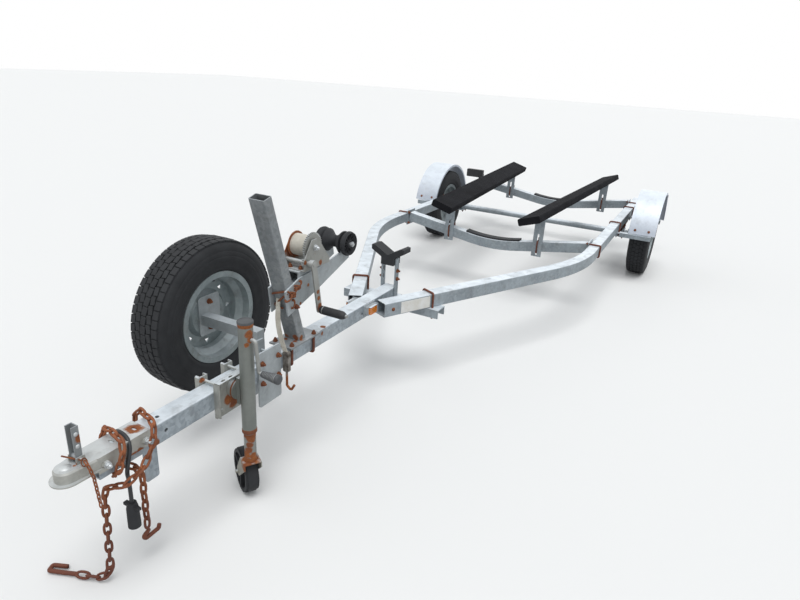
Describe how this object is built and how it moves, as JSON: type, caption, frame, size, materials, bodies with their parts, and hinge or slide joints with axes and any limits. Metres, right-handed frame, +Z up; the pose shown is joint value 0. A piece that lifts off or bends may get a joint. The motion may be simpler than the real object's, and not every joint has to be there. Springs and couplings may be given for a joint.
{
  "type": "boat trailer",
  "caption": "Single-axle boat trailer with a narrow tongue, swept side rails, carpeted bunks, winch mast with bow roller, swivel jack and a spare wheel.",
  "frame": {"origin": "floor level, on the centre line, midway between the coupler's nose and the rails' rear ends", "axes": "+X to port, +Y to the rear, +Z up; the coupler points to -Y"},
  "size_m": [1.875, 4.933, 0.9691],
  "materials": {
    "galvanised": "hot-dip galvanised, weathered and spangled",
    "rusty": "rusted zinc-plated steel",
    "zinc": "dull zinc plate with rust stains",
    "rubber": "weathered black rubber",
    "tyre": "black road tyre",
    "carpet": "black marine carpet over board",
    "grip": "black moulded plastic",
    "webbing": "off-white polyester webbing",
    "lens_amber": "moulded amber lens",
    "lens_red": "moulded red lens"
  },
  "bodies": {
    "frame": {"axle": "galvanised", "axle_clamps": "galvanised", "bow_roller_bolt": "rusty", "bunk_brackets": "galvanised", "bunk_port": "carpet", "bunk_starboard": "carpet", "cable": "grip", "coupler": "galvanised", "crossmember_front": "galvanised", "crossmember_plates": "galvanised", "crossmember_rear": "galvanised", "fender_arms": "galvanised", "fender_port": "galvanised", "fender_starboard": "galvanised", "jack_bracket": "galvanised", "keel_block": "rubber", "keel_pads": "rubber", "keel_posts": "galvanised", "lamp_housings": "grip", "leaf_springs": "rusty", "marker_lenses": "lens_amber", "mast": "galvanised", "plug": "grip", "rail_port": "galvanised", "rail_starboard": "galvanised", "safety_chains": "rusty", "spare_carrier": "galvanised", "spare_rim": "galvanised", "spare_tyre": "tyre", "spring_hangers": "galvanised", "strap_hook": "rusty", "tail_lenses": "lens_red", "tongue": "galvanised", "tongue_channel": "galvanised", "u_bolts": "rusty", "winch_arm": "galvanised", "winch_frame": "zinc", "winch_strap": "webbing"},
    "wheel_port": {"wheel_port": "galvanised", "tyre_port": "tyre"},
    "wheel_starboard": {"wheel_starboard": "galvanised", "tyre_starboard": "tyre"},
    "winch_drum": {"winch_drum": "zinc", "strap_wound": "webbing"},
    "winch_crank": {"winch_crank": "zinc"},
    "bow_roller": {"bow_roller": "rubber"},
    "coupler_latch": {"coupler_latch": "galvanised"},
    "jack_tube": {"jack_tube": "zinc"},
    "jack_crank": {"jack_crank": "zinc"},
    "jack_leg": {"jack_leg": "zinc"},
    "caster_fork": {"caster_fork": "zinc"},
    "caster_wheel": {"caster_wheel": "grip"}
  },
  "joints": [
    {"name": "wheel_port_spin", "type": "hinge", "parent": "frame", "child": "wheel_port", "pos_m": [0.837, 1.6265, 0.283], "axis": [1, 0, 0], "continuous": true},
    {"name": "wheel_starboard_spin", "type": "hinge", "parent": "frame", "child": "wheel_starboard", "pos_m": [-0.837, 1.6265, 0.283], "axis": [1, 0, 0], "continuous": true},
    {"name": "winch_drum_turn", "type": "hinge", "parent": "frame", "child": "winch_drum", "pos_m": [0, -1.4925, 0.761], "axis": [1, 0, 0], "continuous": true},
    {"name": "winch_crank_turn", "type": "hinge", "parent": "frame", "child": "winch_crank", "pos_m": [0, -1.53368, 0.71414], "axis": [1, 0, 0], "continuous": true},
    {"name": "bow_roller_spin", "type": "hinge", "parent": "frame", "child": "bow_roller", "pos_m": [0, -1.2955, 0.733], "axis": [1, 0, 0], "continuous": true},
    {"name": "coupler_latch_fold", "type": "hinge", "parent": "frame", "child": "coupler_latch", "pos_m": [0, -2.3975, 0.4385], "axis": [1, 0, 0], "range_deg": [-60, 0]},
    {"name": "jack_swing", "type": "hinge", "parent": "frame", "child": "jack_tube", "pos_m": [0.0907, -1.899, 0.404], "axis": [1, 0, 0], "range_deg": [0, 35]},
    {"name": "jack_crank_turn", "type": "hinge", "parent": "jack_tube", "child": "jack_crank", "pos_m": [0.0907, -1.899, 0.585], "axis": [1, 0, 0], "continuous": true},
    {"name": "jack_leg_slide", "type": "slide", "parent": "jack_tube", "child": "jack_leg", "axis": [0, 0, 1], "range_m": [-0.12, 0.1]},
    {"name": "caster_swivel", "type": "hinge", "parent": "jack_leg", "child": "caster_fork", "pos_m": [0.0907, -1.899, 0.15], "axis": [0, 0, 1], "continuous": true},
    {"name": "caster_wheel_spin", "type": "hinge", "parent": "caster_fork", "child": "caster_wheel", "pos_m": [0.03897, -1.86668, 0.076], "axis": [0.5299, 0.848, 0], "continuous": true}
  ],
  "couplings": [
    {"joint": "winch_crank_turn", "follows": "winch_drum_turn", "ratio": -4}
  ]
}
